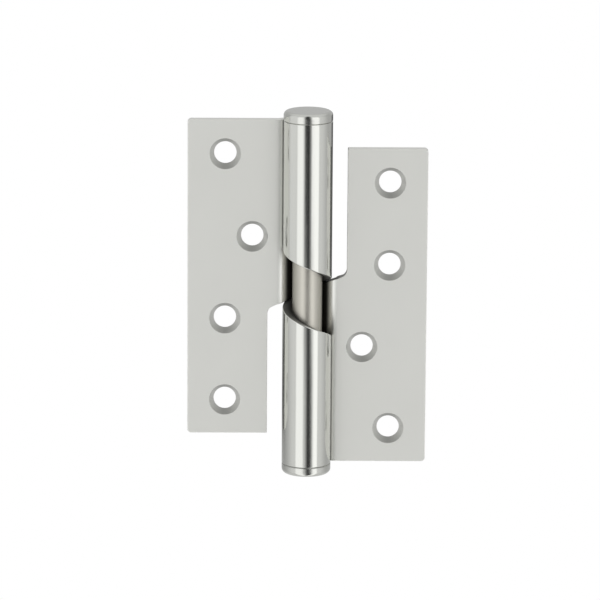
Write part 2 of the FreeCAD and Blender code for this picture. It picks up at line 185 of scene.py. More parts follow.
@dataclass(frozen=True)
class Steel(ABC):
    """A steel and its surface: fine grain, faint clouds, and painted shade, a dark colour mixed in where
    shade falls.

    Attributes:
        name: The material's name.
        colour: Colour of the clean metal.
        tarnish: Colour of its duller patches.
        shade_colour: Colour of the painted shade.
        roughness: Roughness of the clean surface.
        grain_scale: Scale of the grain noise along each axis of its coordinates.
        grain_depth: Depth of the grain.
        grain_share: How far the grain changes the colour and the roughness.
    """

    GRAIN_DETAIL = 3.0
    GRAIN_ROUGHNESS = 0.5
    CLOUD_SCALE = 60.0
    CLOUD_DETAIL = 2.0
    CLOUD_TONE = 0.25
    CLOUD_ROUGHNESS = 0.04
    SHADE_ROUGHNESS = 0.3

    name: str
    colour: tuple[float, float, float]
    tarnish: tuple[float, float, float]
    shade_colour: tuple[float, float, float]
    roughness: float
    grain_scale: tuple[float, float, float]
    grain_depth: float
    grain_share: float

    def _place(self, graph: Graph) -> Term:
        """Coordinates that the pattern lies on."""
        return graph.node("ShaderNodeTexCoord", {}, [], "Object")

    def _smoothness(self, place: Term) -> Term | float:
        """Roughness over the surface, before the grain."""
        return self.roughness

    def _burnished_and_highlit(self, place: Term, clean: Term) -> Term:
        """Colour of the metal under the painted shade, from its clean colour."""
        return clean

    @abstractmethod
    def _painted_shade(self, place: Term) -> Term:
        """Share of painted shade over the surface."""

    def material(self) -> bpy.types.Material:
        """Builds the material.

        Returns:
            The node material for this steel.
        """
        made = bpy.data.materials.new(self.name)
        made.use_nodes = True
        graph = Graph(made.node_tree)
        place = self._place(graph)
        scaled = graph.node("ShaderNodeMapping", {}, {"Vector": place, "Scale": self.grain_scale})
        grain = graph.noise(scaled, 1.0, self.GRAIN_DETAIL)
        cloud = graph.noise(place, self.CLOUD_SCALE, self.CLOUD_DETAIL) - 0.5
        change = (grain - 0.5) * self.grain_share
        painted_shade = self._painted_shade(place)
        rough = change * self.GRAIN_ROUGHNESS + self._smoothness(place)
        rough = rough + cloud * self.CLOUD_ROUGHNESS + painted_shade * self.SHADE_ROUGHNESS
        tone = (change + cloud * self.CLOUD_TONE + 0.5).clamped()
        metal = self._burnished_and_highlit(place, graph.blend(tone, self.tarnish, self.colour))
        # Painted shade: the dark colour is mixed into the metal by the shade's share.
        colour = graph.blend(painted_shade, metal, self.shade_colour)
        depth = {"Strength": 1.0, "Distance": self.grain_depth, "Height": grain}
        bump = graph.node("ShaderNodeBump", {}, depth)
        inputs = {"Base Color": colour, "Metallic": 1.0, "Roughness": rough, "Normal": bump}
        shader = graph.node("ShaderNodeBsdfPrincipled", {}, inputs)
        graph.node("ShaderNodeOutputMaterial", {}, {"Surface": shader})
        return made


@dataclass(frozen=True)
class SheetSteel(Steel):
    """Sheet steel that is satin where it is flat and polished where it is rolled.

    Its coordinates are the flat blank's: the run from the bend's start, the depth from the middle of
    the sheet and the height above the leaf's foot. Two places named start and end, or start and
    full, are the two sides of a soft border. A value that ends in shade is the painted shade's share
    there.

    Attributes:
        worked: Colour of metal that is burnished by rolling.
        rolled_roughness: Roughness of the rolled part.
        edge_roughness: Roughness of the sawn edges.
        half_thickness: Half the sheet's thickness.
        face_depth: Depth at which the edge's rounding has become a face.
        edge_depth: Depth up to which the edge is all sawn.
        front_depth: Depth at which the painted shade on the front ends.
    """

    worked: tuple[float, float, float]
    rolled_roughness: float = 0.11
    edge_roughness: float = 0.4
    half_thickness: float = 1.5 * MM
    face_depth: float = 1.47 * MM
    edge_depth: float = 1.2 * MM
    front_depth: float = 0.75 * MM
    polish_start: float = -0.4 * MM
    polish_end: float = 2.8 * MM
    # The clean colour reaches to here, past the bend, as a painted highlight on the bend.
    highlight_colour_end: float = 1.6 * MM
    worked_end: float = 3.3 * MM
    # Painted shade in the crevice and the crease: where it lies along the run and how dark it is.
    crevice_shade_start: float = 1.15 * MM
    crevice_shade_end: float = 3.3 * MM
    crease_start: float = 0.1 * MM
    crease_end: float = 1.3 * MM
    crease_above_start: float = 59.0 * MM
    crease_above_full: float = 66.08 * MM
    crease_shade: float = 0.15
    crevice_shade_beside_knuckle: float = 0.2
    # Painted shade on the sawn edges: where along the run and up to what height it lies, and how dark.
    edge_shade_start: float = -3.2 * MM
    edge_shade_full: float = -3.04 * MM
    edge_shade_height_full: float = 80.0 * MM
    edge_shade_height_end: float = 88.0 * MM
    neck_end: float = 10.0 * MM
    curl_start: float = 14.0 * MM
    side_run: float = 23.0 * MM
    front_run: float = 31.0 * MM
    notch_edge_shade: float = 0.7
    neck_edge_shade: float = 0.96
    inner_edge_shade: float = 0.97
    outer_edge_shade: float = 0.3
    side_edge_shade: float = 0.66
    # Painted shade in the screw holes: a base share and a share for walls facing up or down.
    drilled_shade: float = 0.12
    drilled_facing_shade: float = 0.53

    def _place(self, graph: Graph) -> Term:
        """The blank's coordinates, kept on the mesh."""
        return graph.node("ShaderNodeAttribute", {"attribute_name": "blank"}, [], "Vector")

    def _edge(self, place: Term) -> Term:
        """Share of sawn edge: all of it between the two faces."""
        return abs(place.parts()[1]).step(self.edge_depth, self.face_depth, 1.0, 0.0)

    def _burnished_and_highlit(self, place: Term, clean: Term) -> Term:
        """Clean metal on the flat and the bend, worked metal past the bend. The clean colour is brighter
        and is kept over the bend to lift its highlight: partly the rolled finish, partly a painted
        highlight.
        """
        # Painted highlight: the brighter clean colour reaches past the bend to brighten its highlight.
        share = place.parts()[0].step(self.highlight_colour_end, self.worked_end)
        return place.graph.blend(share, clean, self.worked)

    def _smoothness(self, place: Term) -> Term:
        """Satin to polished along the run, with rough edges."""
        polish = place.parts()[0].step(self.polish_start, self.polish_end)
        face = polish * (self.rolled_roughness - self.roughness) + self.roughness
        return face.toward(self.edge_roughness, self._edge(place))

    def _front_painted_shade(self, place: Term) -> Term:
        """Painted shade on the front, in the crevice between bend and pin and in the crease above it.

        The crease is the same bend further up, beside the leaf's own knuckle, where the shade is painted
        lighter, and the crevice's painted shade is lighter there too.
        """
        run, depth, height = place.parts()
        front = depth.step(-self.face_depth, -self.front_depth, 1.0, 0.0)
        beside = height.step(self.crease_above_start, self.crease_above_full)
        deep = beside * (self.crevice_shade_beside_knuckle - 1.0) + 1.0
        # Painted shade: the bend is darkened into the crevice beside the pin, and in the crease beside
        # the knuckle.
        crevice = run.step(self.crevice_shade_start, self.crevice_shade_end) * front * deep
        crease = run.step(self.crease_start, self.crease_end) * front * beside * self.crease_shade
        return crevice.larger(crease)

    def _edge_painted_shade(self, place: Term) -> Term:
        """Painted shade on the sawn edges of the notch, the neck and the curl, fading out high on the
        leaf.

        On the curl it is heaviest at the inner rim beside the pin and thins to the outer, most where the
        curl faces the front.
        """
        run, depth, height = place.parts()
        half = self.half_thickness
        outer = run.step(self.side_run, self.front_run, self.side_edge_shade, self.outer_edge_shade)
        curl = depth.step(-half, half, self.inner_edge_shade, outer)
        neck = run.step(-self.crevice_shade_start, self.crevice_shade_start, self.notch_edge_shade, self.neck_edge_shade)
        strength = neck.toward(curl, run.step(self.neck_end, self.curl_start))
        shaded = height.step(self.edge_shade_height_full, self.edge_shade_height_end, 1.0, 0.0)
        shaded = shaded * run.step(self.edge_shade_start, self.edge_shade_full)
        # Painted shade: the edges are darkened where they lie in shade.
        return self._edge(place) * strength * shaded

    def _drilled_painted_shade(self, place: Term) -> Term:
        """Painted shade in the screw holes, dark at the top and bottom of each hole and lighter at its
        sides.

        It grows with the square of how far the hole's wall faces up or down.
        """
        drilled = place.graph.node("ShaderNodeAttribute", {"attribute_name": "drilled"}, [], "Fac")
        facing = place.graph.node("ShaderNodeAttribute", {"attribute_name": "facing"}, [], "Fac")
        # Painted shade: the recess is darkened, more where the wall faces up or down.
        return drilled * (facing * facing * self.drilled_facing_shade + self.drilled_shade)

    def _painted_shade(self, place: Term) -> Term:
        """The darkest of the painted shades at each place."""
        return self._front_painted_shade(place).larger(self._edge_painted_shade(place)).larger(self._drilled_painted_shade(place))


@dataclass(frozen=True)
class CapSteel(Steel):
    """Cap steel with painted shade in the fine groove at its seam, heavier on the lower cap."""

    seam: float = 55.7 * MM
    groove: float = 0.36 * MM
    groove_core: float = 0.144 * MM
    # Painted shade in the seam's groove: light on the upper cap, heavier on the lower.
    head_groove_shade: float = 0.05
    foot_groove_shade: float = 0.4

    def _painted_shade(self, place: Term) -> Term:
        """Painted shade in the groove, by distance from the seam's height."""
        height = place.parts()[2]
        away = abs(abs(height) - self.seam)
        strength = height.step(-self.seam, self.seam, self.foot_groove_shade, self.head_groove_shade)
        # Painted shade: the groove is darkened, more at the foot than at the head.
        return away.step(self.groove_core, self.groove, 1.0, 0.0) * strength


@dataclass(frozen=True)
class PinSteel(Steel):
    """Pin steel with painted shade on the sides that the leaves' bends close in."""

    # Painted shade on the pin's sides: where it starts and ends, and how dark.
    side_shade_start: float = 2.4 * MM
    side_shade_end: float = 4.5 * MM
    side_shade: float = 0.28

    def _painted_shade(self, place: Term) -> Term:
        """Painted shade, by distance to either side of the pin's middle."""
        aside = abs(place.parts()[0])
        # Painted shade: the sides beside the bends are darkened.
        return aside.step(self.side_shade_start, self.side_shade_end, 0.0, self.side_shade)


LEAF_STEEL = SheetSteel(
    name="satin_sheet_steel",
    colour=(0.84, 0.844, 0.808),
    tarnish=(0.804, 0.808, 0.773),
    worked=(0.605, 0.61, 0.58),
    shade_colour=(0.022, 0.021, 0.019),
    roughness=0.55,
    grain_scale=(9000.0, 9000.0, 250.0),
    grain_depth=0.000002,
    grain_share=0.2,
)
CAP_STEEL = CapSteel(
    name="polished_cap_steel",
    colour=(0.61, 0.615, 0.585),
    tarnish=(0.58, 0.584, 0.555),
    shade_colour=(0.05, 0.05, 0.047),
    roughness=0.15,
    grain_scale=(400.0, 400.0, 9000.0),
    grain_depth=0.000001,
    grain_share=0.2,
)
PIN_STEEL = PinSteel(
    name="turned_pin_steel",
    colour=(0.6, 0.582, 0.53),
    tarnish=(0.47, 0.455, 0.4),
    shade_colour=(0.05, 0.05, 0.045),
    roughness=0.38,
    grain_scale=(700.0, 700.0, 9000.0),
    grain_depth=0.000003,
    grain_share=0.6,
)


def rounded_path(points: Array, radii: Array, steps: int) -> tuple[Array, Array]:
    """Rounds the corners of an open outline with tangent arcs.

    At a corner where the outline turns by an angle, an arc of the corner's radius starts the radius
    times the tangent of half that angle before it. Normals point to the right of the direction of
    travel, away from the solid, and turn evenly along the arc. The two ends stay as they are.

    Args:
        points: Corners, one row each, with the solid on the left.
        radii: Radius at each inner corner.
        steps: Spans in each arc.

    Returns:
        The points and their normals, one row each.
    """
    spans = np.diff(points, axis=0)
    spans /= np.linalg.norm(spans, axis=1)[:, None]
    arrive, leave = spans[:-1], spans[1:]
    cross = arrive[:, 0] * leave[:, 1] - arrive[:, 1] * leave[:, 0]
    turn = np.arctan2(cross, np.sum(arrive * leave, axis=1))
    side = (np.sign(turn) * radii)[:, None]
    right = np.stack([arrive[:, 1], -arrive[:, 0]], axis=1)
    start = points[1:-1] - arrive * (radii * np.tan(np.abs(turn) / 2))[:, None]
    centre = start - side * right
    first = np.arctan2(right[:, 1], right[:, 0])
    angles = first[:, None] + turn[:, None] * np.linspace(0, 1, steps + 1)
    normals = np.stack([np.cos(angles), np.sin(angles)], axis=2)
    places = centre[:, None] + side[:, None] * normals
    ends = np.stack([spans[0], spans[-1]])
    end_normals = np.stack([ends[:, 1], -ends[:, 0]], axis=1)
    places = np.concatenate([points[:1], places.reshape(-1, 2), points[-1:]])
    normals = np.concatenate([end_normals[:1], normals.reshape(-1, 2), end_normals[1:]])
    return places, normals


def turned(path: Array, steps: int) -> Array:
    """A path of radii and heights turned round the height's axis, or its normals turned with it.

    Args:
        path: Radius and height of each point.
        steps: Number of angles in a full turn.

    Returns:
        Radius times cosine, radius times sine and height, points by angles.
    """
    angle = np.linspace(0, 2 * math.pi, steps, endpoint=False)
    radius, height = path[:, :1], path[:, 1:]
    return np.stack([radius * np.cos(angle), radius * np.sin(angle), height + 0 * angle], axis=2)


def with_depth(flat: Array, depth: Array) -> Array:
    """Runs and heights with a depth set between them."""
    return np.stack([flat[..., 0], np.broadcast_to(depth, flat.shape[:2]), flat[..., 1]], axis=2)


def unit(vectors: Array) -> Array:
    """Vectors scaled to length 1."""
    return vectors / np.linalg.norm(vectors, axis=-1, keepdims=True)


def eased(values: Array, start: float, end: float) -> Array:
    """A smooth rise from 0 to 1 while the values go from start to end."""
    share = np.clip((values - start) / (end - start), 0.0, 1.0)
    return share * share * (3.0 - 2.0 * share)


@dataclass
class Patch:
    """Points of a surface, their outward normals and their places on the flat blank."""

    places: Array
    normals: Array
    blank: Array


class Skin:
    """Patches of one solid's surface, welded into one closed mesh with exact normals.

    The patches come in the door leaf's frame. The skin raises them, and on the frame leaf's side it
    turns them half round the front-to-back axis. Points that fall into one cell of a grid as wide as
    the weld become one. The grid is shifted so that round numbers keep off its lines.
    """

    WELD = 2.3e-7
    GRID_SHIFT = math.pi / 7

    def __init__(self, side: Side, raised: float = 0.0) -> None:
        """Starts with no patch.

        Args:
            side: The leaf that the piece belongs to.
            raised: Height that is added to the patches.
        """
        self.turn = np.array([side.value, 1.0, side.value])
        self.raised = np.array([0.0, 0.0, raised])
        self.places: list[Array] = []
        self.normals: list[Array] = []
        self.blanks: list[Array] = []
        self.triangles: list[Array] = []
        self.drilled: list[Array] = []
        self.count = 0

    def add(self, patch: Patch, triangles: Array, drilled: bool = False) -> None:
        """Adds a patch.

        Args:
            patch: Its points.
            triangles: Point numbers, three to a row.
            drilled: Whether it is the wall of a screw hole.
        """
        shape = patch.places.shape
        self.places.append(((patch.places + self.raised) * self.turn).reshape(-1, 3))
        self.normals.append(np.broadcast_to(patch.normals * self.turn, shape).reshape(-1, 3))
        self.blanks.append(patch.blank.reshape(-1, 3))
        self.triangles.append(triangles + self.count)
        self.drilled.append(np.full(len(triangles), float(drilled)))
        self.count += self.places[-1].shape[0]

    def add_grid(self, patch: Patch, wrap: bool, drilled: bool = False) -> None:
        """Adds a grid of points, rows by columns, as two triangles to a cell.

        Args:
            patch: The grid's points.
            wrap: Whether the last column joins the first.
            drilled: Whether the grid is the wall of a screw hole.
        """
        rows, columns = patch.places.shape[:2]
        numbers = np.arange(rows * columns).reshape(rows, columns)
        if wrap:
            numbers = np.concatenate([numbers, numbers[:, :1]], axis=1)
        a, b = numbers[:-1, :-1].ravel(), numbers[:-1, 1:].ravel()
        c, d = numbers[1:, 1:].ravel(), numbers[1:, :-1].ravel()
        triangles = np.concatenate([np.stack([a, b, c], 1), np.stack([a, c, d], 1)])
        self.add(patch, triangles, drilled)

    def build(self, name: str) -> bpy.types.Object:
        """Welds the patches and makes the object.

        Points on one spot become one, thin triangles that lose a corner are dropped, and each
        triangle is turned to face the way its normals point. The finishes read what the mesh keeps:
        the blank, how far each point faces up, which sets the painted shade in the screw holes, and
        which faces are drilled.

        Args:
            name: The object's name.

        Returns:
            The new object, linked into the scene.
        """
        places = np.concatenate(self.places)
        normals = np.concatenate(self.normals)
        blanks = np.concatenate(self.blanks)
        keys = np.floor(places / self.WELD + self.GRID_SHIFT).astype(np.int64)
        _, first, welded = np.unique(keys, axis=0, return_index=True, return_inverse=True)
        welded = welded.ravel()
        summed = np.zeros((len(first), 3))
        np.add.at(summed, welded, normals)
        places, blanks, normals = places[first], blanks[first], unit(summed)
        triangles = welded[np.concatenate(self.triangles)]
        a, b, c = triangles.T
        whole = (a != b) & (b != c) & (c != a)
        triangles, drilled = triangles[whole], np.concatenate(self.drilled)[whole]
        a, b, c = triangles.T
        facing = np.cross(places[b] - places[a], places[c] - places[a])
        wanted = normals[a] + normals[b] + normals[c]
        inward = np.sum(facing * wanted, axis=1) < 0
        triangles[inward] = triangles[inward][:, ::-1]
        mesh = bpy.data.meshes.new(name)
        mesh.from_pydata(places.tolist(), [], triangles.tolist())
        kept = (
            ("blank", "FLOAT_VECTOR", "POINT", "vector", blanks),
            ("facing", "FLOAT", "POINT", "value", normals[:, 2]),
            ("drilled", "FLOAT", "FACE", "value", drilled),
        )
        for label, kind, domain, field, values in kept:
            data = mesh.attributes.new(label, kind, domain).data
            data.foreach_set(field, values.astype(np.float32).ravel())
        mesh.shade_smooth()
        mesh.normals_split_custom_set_from_vertices(normals.tolist())
        made = bpy.data.objects.new(name, mesh)
        bpy.context.scene.collection.objects.link(made)
        return made


@dataclass(frozen=True)
class Sheet:
    """The sheet seen along the pin: flat, bent to the back, straight again, and curled round the pin.

    A place on it is given on the flat blank: its run from the bend's start, positive towards the
    curl, and its depth from the middle of the sheet, positive to the back.
    """

    thickness: float
    bore: float
    offset: float
    bend_radius: float = 2.7 * MM
    bend_reach: float = 9.7 * MM
    tip_gap: float = 0.3 * MM

    @property
    def knuckle(self) -> float:
        """Outside radius of the curl."""
        return self.bore + self.thickness

    @property
    def mid_knuckle(self) -> float:
        """Radius of the middle of the curled sheet."""
        return self.bore + self.thickness / 2

    @property
    def bend_centre(self) -> Array:
        """The bend's axis, behind the leaf and beside the pin."""
        return np.array([-self.bend_reach, self.offset + self.thickness / 2 + self.bend_radius])

    @property
    def flank(self) -> float:
        """Length of the straight stretch, the tangent that crosses between bend and curl."""
        radii = self.mid_knuckle + self.bend_radius
        return math.sqrt(np.sum(self.bend_centre**2) - radii**2)

    @property
    def bend_angle(self) -> float:
        """Angle of the bend."""
        sideways, backward = np.abs(self.bend_centre)
        radii = self.mid_knuckle + self.bend_radius
        return math.atan2(sideways, backward) - math.atan2(self.flank, radii)

    @property
    def join_angle(self) -> float:
        """Angle about the pin at which the straight stretch passes into the curl."""
        return math.pi / 2 + self.bend_angle

    @property
    def bend_run(self) -> float:
        """Length of the bend along the middle of the sheet."""
        return self.bend_radius * self.bend_angle

    @property
    def join_run(self) -> float:
        """Run at which the curl starts."""
        return self.bend_run + self.flank

    @property
    def end_run(self) -> float:
        """Run at the curl's tip, whose outer corner stops short of the straight stretch's front."""
        tip_angle = self.bend_angle + math.pi - math.asin((self.bore - self.tip_gap) / self.knuckle)
        return self.join_run + self.mid_knuckle * (self.join_angle + 2 * math.pi - tip_angle)

    def placed(self, run: Array, depth: Array) -> tuple[Array, Array, Array]:
        """Rolls places on the blank up.

        On the flat, the point is the run along X. On the bend it goes round the bend's axis by the
        run over the bend's radius, and after it straight on. On the curl it goes back round the pin
        by the rest of the run over the middle radius.

        Args:
            run: Runs from the bend's start.
            depth: Depths from the middle of the sheet.

        Returns:
            Points, directions along the run, and directions to the back, each with X and Y last.
        """
        run, depth = np.broadcast_arrays(run, depth)
        bend = np.clip(run, 0, self.bend_run) / self.bend_radius
        along = np.stack([np.cos(bend), np.sin(bend)], axis=-1)
        back = np.stack([-np.sin(bend), np.cos(bend)], axis=-1)
        straight = np.minimum(run, 0) + np.maximum(run - self.bend_run, 0)
        out = self.bend_centre - (self.bend_radius - depth)[..., None] * back
        out = out + straight[..., None] * along
        angle = self.join_angle - (run - self.join_run) / self.mid_knuckle
        radial = np.stack([np.cos(angle), np.sin(angle)], axis=-1)
        forward = np.stack([np.sin(angle), -np.cos(angle)], axis=-1)
        curled = (run > self.join_run)[..., None]
        places = np.where(curled, (self.mid_knuckle + depth)[..., None] * radial, out)
        return places, np.where(curled, forward, along), np.where(curled, radial, back)


@dataclass(frozen=True)
class Ramp:
    """The slanted cut along the knuckle's end, as a height over the run of the blank."""

    sheet: Sheet
    leaf_height: float
    lead: float
    gap: float = 0.25 * MM
    bend_ease: float = 0.85
    breakout: float = 0.35 * MM
    torn_start: float = -2.0 * MM
    torn_full: float = -0.5 * MM
    torn_join_share: float = 0.7
    torn_depth_share: float = 0.3

    @property
    def slope(self) -> float:
        """Rise of the cut along the sheet."""
        return self.lead / (2 * math.pi * self.sheet.mid_knuckle)

    def heights(self, run: Array) -> tuple[Array, Array]:
        """Height and slope of the cut over the run, a little less steep between flat and curl.

        Args:
            run: Runs from the bend's start.

        Returns:
            Heights above the leaf's foot, and slopes.
        """
        turns = self.sheet.join_angle / (2 * math.pi)
        at_join = (self.leaf_height + self.gap) / 2 - self.lead * turns
        gentle = self.slope * self.bend_ease
        join = self.sheet.join_run
        between = np.clip(run, 0, join) - join
        outside = np.minimum(run, 0) + np.maximum(run - join, 0)
        height = at_join + gentle * between + self.slope * outside
        return height, np.where((run > 0) & (run <= join), gentle, self.slope)

    def torn(self, run: Array, depth: Array) -> Array:
        """How far the cut's back stands past its front, where the punch tore the sheet.

        It grows over the back of the sheet, from beside the notch's corner to the start of the curl.

        Args:
            run: Runs from the bend's start.
            depth: Depths from the middle of the sheet.

        Returns:
            Heights to take off the cut's.
        """
        half, join = self.sheet.thickness / 2, self.sheet.join_run
        start = eased(run, self.torn_start, self.torn_full)
        end = 1.0 - eased(run, self.torn_join_share * join, join)
        return self.breakout * start * end * eased(depth, self.torn_depth_share * half, half)


@dataclass
class RolledLeaf:
    """One leaf of the hinge with its rolled knuckle."""

    FACES_DOWN = -0.5

    name: str
    body: str
    side: Side
    sheet: Sheet
    ramp: Ramp
    leaf_reach: float
    foot: float
    holes: list[tuple[float, float]]
    notch_clearance: float = 4.8 * MM
    notch_radius: float = 2.5 * MM
    corner_radius: float = 1.2 * MM
    foot_radius: float = 0.4 * MM
    edge_radius: float = 0.25 * MM
    hole_radius: float = 3.55 * MM
    countersink_radius: float = 4.95 * MM
    countersink_angle: float = 60.0
    rim_radius: float = 0.12 * MM
    arc_steps: int = 6
    corner_steps: int = 16
    hole_steps: int = 96
    bend_steps: int = 24
    flank_steps: int = 12
    curl_steps: int = 240

    def _band(self) -> tuple[Array, Array, Array, Array]:
        """The edge of the sheet from its front face to its back: inset, depth and normal.

        Each corner is a quarter circle: the inset is the radius times one less the cosine, and the
        depth goes with the sine.

        Returns:
            Insets, depths, and the normals' parts outwards and to the back.
        """
        quarter = np.linspace(0, math.pi / 2, self.arc_steps + 1)
        angle = np.concatenate([quarter - math.pi / 2, quarter])
        flat = self.sheet.thickness / 2 - self.edge_radius
        middle = np.repeat([-flat, flat], self.arc_steps + 1)
        inset = self.edge_radius * (1 - np.cos(angle))
        return inset, middle + self.edge_radius * np.sin(angle), np.cos(angle), np.sin(angle)

    def _stations(self) -> tuple[Array, Array]:
        """The stations of the rolled part, from the bend's start to the curl's tip.

        The last ones draw the section in by a quarter circle: their run goes with the sine and the
        share drawn in is one less the cosine.

        Returns:
            The run of each station, and the angle along the quarter circle, 0 before it.
        """
        sheet, start = self.sheet, self.sheet.end_run - self.edge_radius
        quarter = np.linspace(0, math.pi / 2, self.arc_steps + 1)
        run = np.concatenate(
            [
                np.linspace(0, sheet.bend_run, self.bend_steps + 1)[:-1],
                np.linspace(sheet.bend_run, sheet.join_run, self.flank_steps + 1)[:-1],
                np.linspace(sheet.join_run, start, self.curl_steps + 1)[:-1],
                start + self.edge_radius * np.sin(quarter),
            ]
        )
        return run, np.concatenate([np.zeros(len(run) - len(quarter)), quarter])

    def _rolled(self, skin: Skin) -> None:
        """Adds the bend and the curl: the sheet's whole section carried along the run.

        The section's lower edge follows the ramp's cut and its upper edge the leaf's top.
        """
        sheet, edge = self.sheet, self.edge_radius
        run, lean = self._stations()
        run, draw = run[:, None], 1 - np.cos(lean)[:, None]
        inset, depth, outward, backward = self._band()
        face = np.sign(depth) * sheet.thickness / 2
        cut, slope = self.ramp.heights(run)
        tilt = np.sqrt(1 + slope**2)
        # Drawn in, a rounded corner's point closes on the spot one edge radius inside the section.
        inset = inset + draw * (edge - inset)
        depth = depth + draw * (face - np.sign(depth) * edge - depth)
        low = cut + inset * tilt - self.ramp.torn(run, depth)
        high = self.ramp.leaf_height - inset[:, ::-1]
        height = np.concatenate([low, high], axis=1)
        depth = np.concatenate([depth, depth[:, ::-1]], axis=1)
        outward, backward = (np.concatenate([part, part[::-1]])[:, None] for part in (outward, backward))
        place, along, back = sheet.placed(run, depth)
        level = np.zeros((*height.shape, 1))
        along, back = (np.concatenate([part, level], axis=2) for part in (along, back))
        up = np.array([0.0, 0.0, 1.0])
        below = (slope[..., None] * along[:, : low.shape[1]] - up) / tilt[..., None]
        edge_out = np.concatenate([below, np.broadcast_to(up, (*high.shape, 3))], axis=1)
        section = outward * edge_out + backward * back
        lean = lean[:, None, None]
        normals = unit(np.cos(lean) * section + np.sin(lean) * along)
        places = np.concatenate([place, height[..., None]], axis=2)
        blank = np.stack([np.broadcast_to(run, height.shape), depth, height], axis=2)
        skin.add_grid(Patch(places, normals, blank), True)
        self._tip(skin, Patch(places[-1], along[-1, 0], blank[-1]))

    def _tip(self, skin: Skin, last: Patch) -> None:
        """Closes the curl's tip with a fan of triangles over its last section."""
        count = len(last.places)
        near = np.arange(count)
        fan = np.stack([near, np.roll(near, -1), np.full(count, count)], axis=1)
        loops = (last.places, last.blank)
        places, blank = (np.concatenate([loop, loop.mean(axis=0)[None]]) for loop in loops)
        skin.add(Patch(places, last.normals, blank), fan)

    def _outline(self) -> tuple[Array, Array]:
        """The flat part's outline on the blank, from the bend's start round to it again."""
        sheet, top = self.sheet, self.ramp.leaf_height
        bend = sheet.bend_centre[0]
        outer = -self.leaf_reach - bend
        notch = -(sheet.knuckle + self.notch_clearance) - bend
        cut = self.ramp.heights(np.array([notch, 0.0]))[0]
        corners = np.array(
            [[0, top], [outer, top], [outer, 0], [notch, 0], [notch, cut[0]], [0, cut[1]]]
        )
        radii = np.array([self.corner_radius, self.corner_radius, self.foot_radius, self.notch_radius])
        return rounded_path(corners, radii, self.corner_steps)

    def _flat(self, skin: Skin) -> None:
        """Adds the flat part: its rounded edge, its screw holes and its two faces."""
        outline, normal = self._outline()
        inset, depth, outward, backward = self._band()
        spots = outline[:, None] - inset[:, None] * normal[:, None]
        tilt = math.sqrt(1 + self.ramp.slope**2)
        # The last station meets the bend's first section, whose cut is as steep as the flat's.
        spots[-1, :, 0] = 0.0
        spots[-1, :, 1] = outline[-1, 1] + inset * tilt
        # Only the edges that face down are torn, and the leaf's foot lies outside the torn run.
        faces_down = normal[:, 1:] < self.FACES_DOWN
        spots[..., 1] -= np.where(faces_down, self.ramp.torn(spots[..., 0], depth), 0.0)
        blank = with_depth(spots, depth)
        normals = with_depth(outward[:, None] * normal[:, None], backward)
        skin.add_grid(self._on_flat(blank, normals), False)
        rims = [self._hole(skin, run, height) for run, height in self.holes]
        for face, facing in ((0, -1.0), (-1, 1.0)):
            loops = [blank[:, face]] + [rim[face] for rim in rims]
            points = np.concatenate(loops)
            rings = [[Vector((p[0], p[2], 0.0)) for p in loop] for loop in loops]
            triangles = np.array(tessellate_polygon(rings))
            skin.add(self._on_flat(points, np.array([0.0, facing, 0.0])), triangles)

    def _hole(self, skin: Skin, run: float, height: float) -> tuple[Array, Array]:
        """Adds one countersunk hole, a rounded profile turned about its axis.

        Args:
            skin: The surface to add to.
            run: The hole's place along the blank.
            height: Its height above the leaf's foot.

        Returns:
            The hole's rims on the front and the back face, in blank coordinates.
        """
        back, rim = self.sheet.thickness / 2, self.rim_radius
        half_angle = math.radians(self.countersink_angle / 2)
        cone_foot = -back + (self.countersink_radius - self.hole_radius) / math.tan(half_angle)
        corners = np.array(
            [
                [self.hole_radius + rim, back],
                [self.hole_radius, back],
                [self.hole_radius, cone_foot],
                [self.countersink_radius, -back],
                [self.countersink_radius + rim, -back],
            ]
        )
        profile, normal = rounded_path(corners, np.full(3, rim), self.arc_steps)
        wall, normals = (turned(path, self.hole_steps)[..., [0, 2, 1]] for path in (profile, normal))
        blank = wall + np.array([run, 0.0, height])
        skin.add_grid(self._on_flat(blank, normals), True, True)
        return blank[-1], blank[0]

    def _on_flat(self, blank: Array, normals: Array) -> Patch:
        """A patch of the flat part, from its places on the blank."""
        place, _, _ = self.sheet.placed(blank[..., 0], blank[..., 1])
        return Patch(np.concatenate([place, blank[..., 2:]], axis=-1), normals, blank)

    def build(self, material: bpy.types.Material) -> bpy.types.Object:
        """Builds the leaf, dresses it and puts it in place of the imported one.

        Args:
            material: The leaf's finish.

        Returns:
            The new piece.
        """
        skin = Skin(self.side, self.foot)
        self._rolled(skin)
        self._flat(skin)
        piece = skin.build(f"{self.name}_rolled")
        piece.data.materials.append(material)
        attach(piece, self.body)
        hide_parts(self.name)
        return piece


@dataclass
class TurnedPiece:
    """A piece turned about the pin's axis."""

    name: str
    node: str
    body: str
    slot: str
    corners: list[tuple[float, float]]
    radii: list[float]
    side: Side = Side.DOOR
    turn_steps: int = 192
    arc_steps: int = 10

    def build(self, material: bpy.types.Material) -> bpy.types.Object:
        """Turns the rounded profile round the axis, dresses the piece and puts it in place.

        Args:
            material: The piece's finish.

        Returns:
            The new piece.
        """
        profile, normal = rounded_path(np.array(self.corners), np.array(self.radii), self.arc_steps)
        places, normals = (turned(path, self.turn_steps) for path in (profile, normal))
        skin = Skin(self.side)
        skin.add_grid(Patch(places, normals, places), True)
        piece = skin.build(self.name)
        piece.data.materials.append(material)
        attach(piece, self.body)
        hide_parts(self.node)
        return piece


